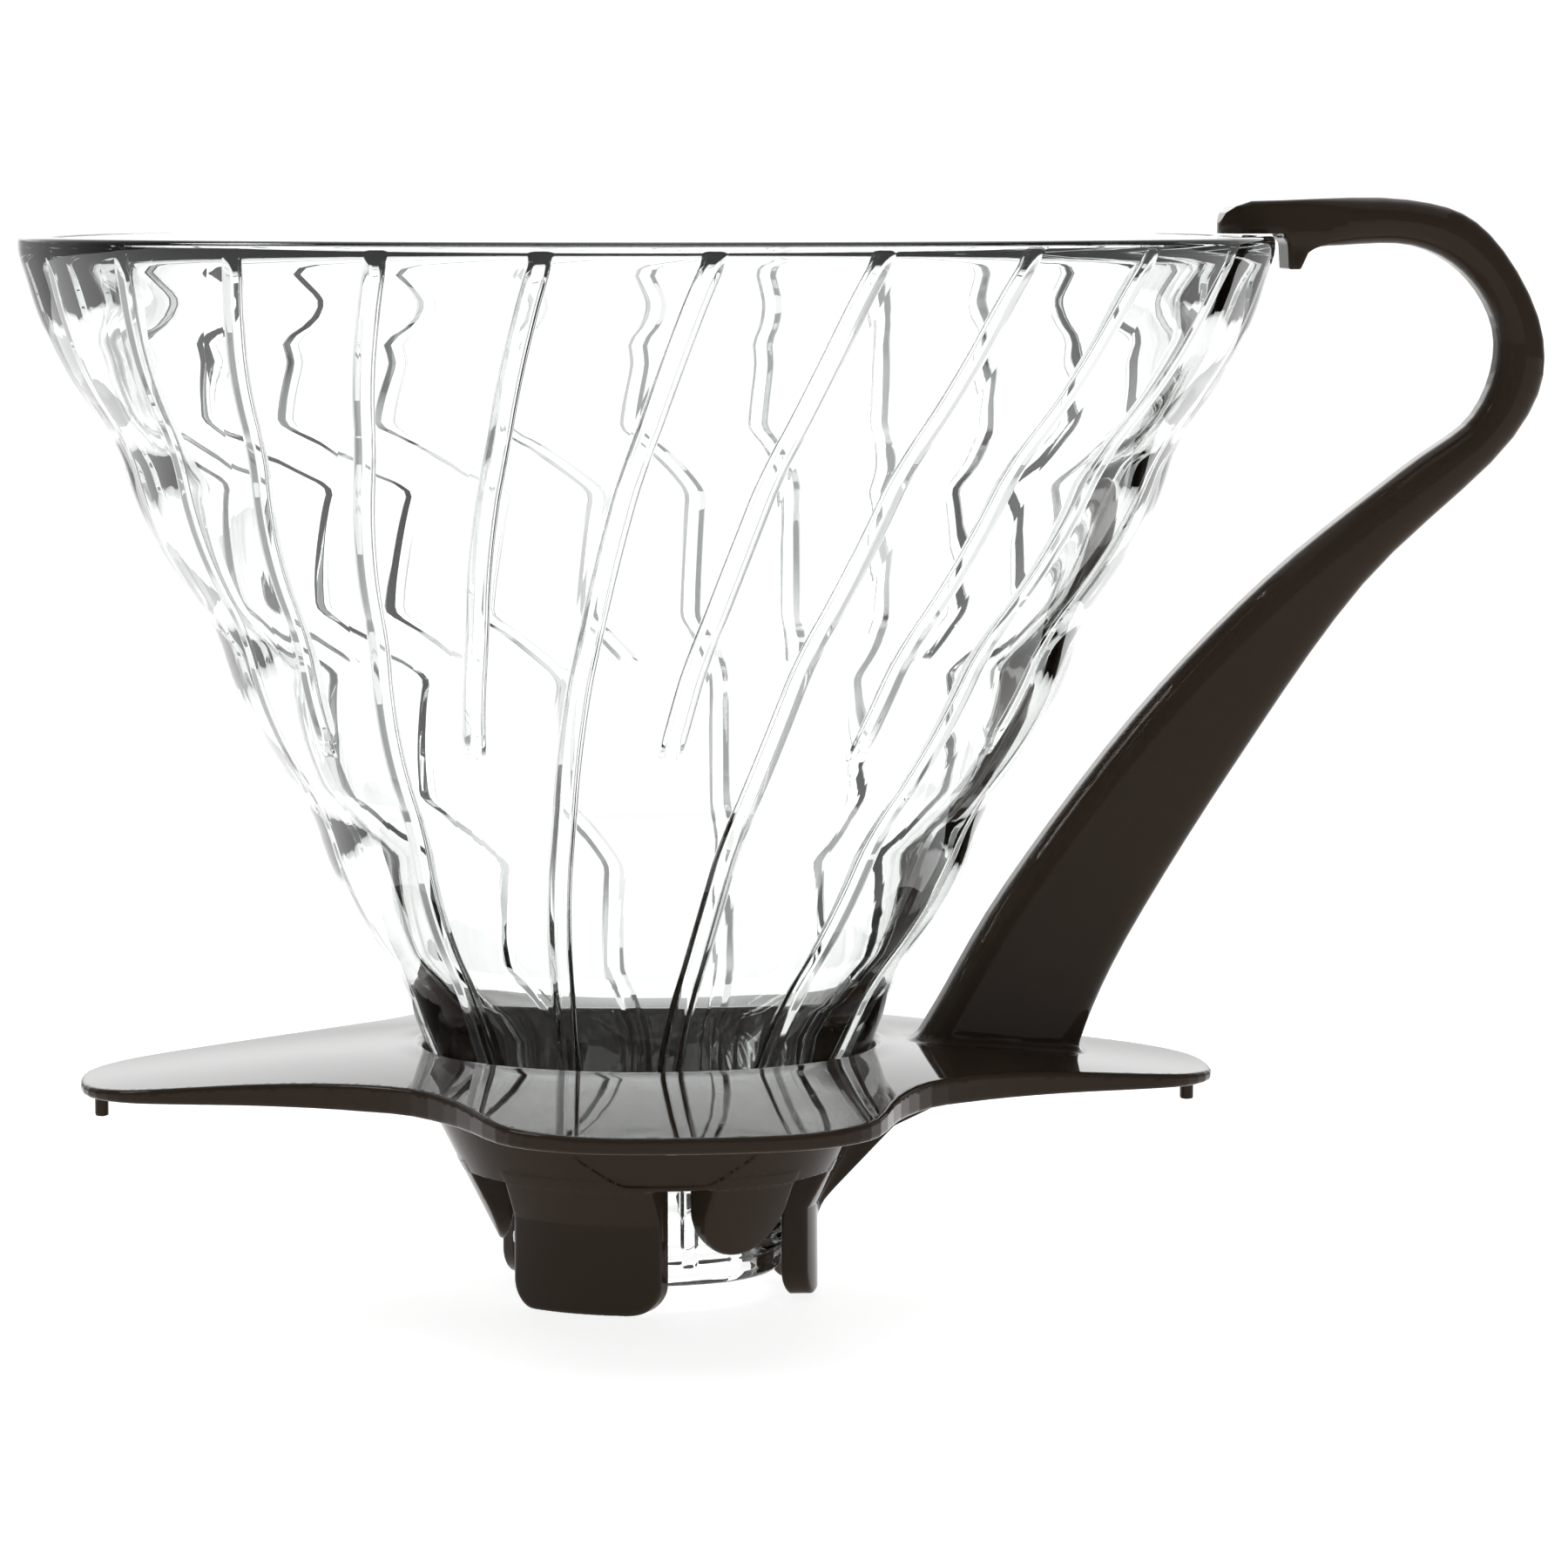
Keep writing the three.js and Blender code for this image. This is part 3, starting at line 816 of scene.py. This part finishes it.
def black_plastic():
    """Glossy moulded plastic, warm black, with a very faint ripple and a little wear in its gloss."""
    made, tree, shader = material("black_plastic", IOR=1.5, Specular_IOR_Level=0.07)
    tree.links.new(mixed_colour(tree, noise(tree, 90), *PLASTIC_COLOURS), shader.inputs["Base Color"])
    tree.links.new(ranged(tree, noise(tree, 160, 4.0, 0.6), *PLASTIC_ROUGHNESS), shader.inputs["Roughness"])
    bump(tree, shader, noise(tree, 120, 1.0), 0.05, 0.0002)
    return made


def soft_silicone():
    """Dull dark silicone with a fine unevenness in its gloss."""
    made, tree, shader = material("soft_silicone", IOR=1.42)
    tree.links.new(mixed_colour(tree, noise(tree, 400), *SILICONE_COLOURS), shader.inputs["Base Color"])
    tree.links.new(ranged(tree, noise(tree, 900, 4.0), *SILICONE_ROUGHNESS), shader.inputs["Roughness"])
    return made


def pale_floor():
    """A plain white table, evenly lit from below, so the object's shadow stays faint."""
    made, tree, shader = material("pale_floor", Roughness=0.8)
    shader.inputs["Emission Color"].default_value = (1, 1, 1, 1)
    shader.inputs["Emission Strength"].default_value = FLOOR_GLOW
    tree.links.new(mixed_colour(tree, noise(tree, 6), *FLOOR_COLOURS), shader.inputs["Base Color"])
    return made


# ---- Pieces ----
def add_glass():
    vertices, faces, painted_shades = glass_mesh()
    piece = new_object("glass_body", vertices, faces, clear_glass())
    # stores the painted shade along the ribs' flanks and the rim's edge
    attribute = piece.data.attributes.new("painted_rib_shade", "FLOAT", "POINT")
    attribute.data.foreach_set("value", painted_shades.astype(np.float32))
    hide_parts("glass_cone")
    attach(piece, "glass")


def add_stand():
    low = (-PLATE_REACH - MARGIN, -LOBE_REACH - MARGIN, -FOOT_DEPTH - MARGIN)
    high = (HANDLE_REACH + MARGIN, LOBE_REACH + MARGIN, HANDLE_RISE + MARGIN)
    vertices, faces = solid_surface(stand_field, low, high)
    normals = unit_normals(stand_field, vertices)
    piece = new_object("stand_moulding", vertices, faces, black_plastic(), normals)
    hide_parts("base_plate", "seat_cup", "handle")
    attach(piece, "stand")


def add_washer():
    """A thin soft washer with round edges."""
    top = (RIM_Z - ring_high.z) / MM
    bottom = (RIM_Z - ring_low.z) / MM
    half, middle = (bottom - top) / 2, (top + bottom) / 2
    outer_edge = arc((WASHER_OUTER_RADIUS - half, middle), half, 90, -90, WASHER_ARC_STEPS)
    inner_edge = arc((WASHER_INNER_RADIUS + half, middle), half, 270, 90, WASHER_ARC_STEPS)
    section = outer_edge + inner_edge
    angles = np.arange(WASHER_SIDES) * 2 * math.pi / WASHER_SIDES
    vertices = [(r * math.cos(a), r * math.sin(a), -d) for r, d in section for a in angles]
    faces = np.roll(ring_faces(len(section), WASHER_SIDES)[:, ::-1], 1, axis=1)
    piece = new_object("soft_washer", vertices, faces, soft_silicone())
    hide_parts("cushion_ring")
    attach(piece, "stand")


# ---- Stage, light and camera ----
FLOOR_SPAN = (-3.0, 3.0)  # from side to side, in metres
FLOOR_DEPTH = (-3.0, 0.5)  # from the near edge to the far one
FLOOR_LEVEL = -0.0002
BACKDROP_HEADING = 0.1  # towards the band's middle, in radians from +y
BACKDROP_WIDTH = (0.19, 0.38)  # headings off its middle between which the band fades
BACKDROP_LEVEL = 0.76
SKY_WIDTH = (0.3, 0.8)
SKY_RISE = (0.05, 0.15)
SKY_LEVEL = 0.95  # added above the horizon
STUDIO_WIDTH = (0.75, 1.25)
STUDIO_LEVELS = (0.46, 0.22)  # behind the object and on the near side
CAMERA_AZIMUTH = math.radians(-5)
CAMERA_DISTANCE = 0.570  # from the cone's axis
CAMERA_RISE = 0.0055  # above the rim
CAMERA_LENS = 145.5
CAMERA_TILT = math.radians(-5.5)
CAMERA_PAN = math.radians(-1.23)  # to the handle's side, so the whole width is centred


def add_floor():
    (left, right), (near, far), level = FLOOR_SPAN, FLOOR_DEPTH, FLOOR_LEVEL
    mesh = bpy.data.meshes.new("floor")
    corners = [(left, near, level), (right, near, level), (right, far, level), (left, far, level)]
    mesh.from_pydata(corners, [], [(0, 1, 2, 3)])
    mesh.materials.append(pale_floor())
    floor = bpy.data.objects.new("floor", mesh)
    bpy.context.scene.collection.objects.link(floor)


def add_area_light(name, place, target, size, power, glossy_only=False):
    """A soft light; with glossy_only it is seen in reflections and through glass but lights nothing dull."""
    light = bpy.data.lights.new(name, "AREA")
    light.shape = "RECTANGLE"
    light.size, light.size_y = size
    light.energy = power
    lamp = bpy.data.objects.new(name, light)
    lamp.location = place
    lamp.rotation_euler = (Vector(target) - Vector(place)).to_track_quat("-Z", "Y").to_euler()
    lamp.visible_diffuse = not glossy_only
    bpy.context.scene.collection.objects.link(lamp)


def maths(tree, operation, *values):
    node = tree.nodes.new("ShaderNodeMath")
    node.operation = operation
    for socket, value in zip(node.inputs, values):
        if isinstance(value, (int, float)):
            socket.default_value = value
        else:
            tree.links.new(value, socket)
    return node.outputs[0]


def world_ramp(tree, value, start, end, low, high):
    """Smoothly from low to high while the value goes from start to end."""
    node = tree.nodes.new("ShaderNodeMapRange")
    node.interpolation_type = "SMOOTHSTEP"
    for name, number in zip(("From Min", "From Max", "To Min", "To Max"), (start, end, low, high)):
        node.inputs[name].default_value = number
    tree.links.new(value, node.inputs["Value"])
    return node.outputs["Result"]


def add_world():
    """A bright upright band of light behind the object, grey to its sides, dim on the near side."""
    world = bpy.data.worlds.new("studio")
    world.use_nodes = True
    tree = world.node_tree
    coords = tree.nodes.new("ShaderNodeTexCoord")
    split = tree.nodes.new("ShaderNodeSeparateXYZ")
    tree.links.new(coords.outputs["Generated"], split.inputs["Vector"])
    heading = maths(tree, "ARCTAN2", split.outputs["X"], split.outputs["Y"])
    aside = maths(tree, "ABSOLUTE", maths(tree, "SUBTRACT", heading, BACKDROP_HEADING))
    spread = world_ramp(tree, aside, *SKY_WIDTH, 1.0, 0.0)
    above = maths(tree, "MULTIPLY", spread, world_ramp(tree, split.outputs["Z"], *SKY_RISE, 0.0, SKY_LEVEL))
    band = maths(tree, "ADD", above, world_ramp(tree, aside, *BACKDROP_WIDTH, BACKDROP_LEVEL, 0.0))
    level = maths(tree, "ADD", band, world_ramp(tree, aside, *STUDIO_WIDTH, *STUDIO_LEVELS))
    tree.links.new(level, tree.nodes["Background"].inputs["Strength"])
    tree.nodes["Background"].inputs["Color"].default_value = (1, 1, 1, 1)
    bpy.context.scene.world = world


def add_camera():
    camera = bpy.data.cameras.new("camera")
    camera.lens = CAMERA_LENS
    camera.sensor_width = 36
    holder = bpy.data.objects.new("camera", camera)
    away = Vector((math.sin(CAMERA_AZIMUTH), -math.cos(CAMERA_AZIMUTH), 0))
    holder.location = Vector((AXIS.x, AXIS.y, RIM_Z + CAMERA_RISE)) + away * CAMERA_DISTANCE
    holder.rotation_euler = (math.pi / 2 + CAMERA_TILT, 0, CAMERA_AZIMUTH + CAMERA_PAN)
    bpy.context.scene.collection.objects.link(holder)
    bpy.context.scene.camera = holder


add_camera()
add_glass()
add_stand()
add_washer()
add_floor()
add_area_light("overhead", (0, 0.15, 1.3), (0, 0, 0), (1.6, 1.6), 8)
add_area_light("streak", (-0.43, 0.04, 0.43), (0.03, 0, 0.05), (0.18, 0.18), 1.2, glossy_only=True)
add_world()
bpy.context.scene.view_settings.view_transform = "Standard"
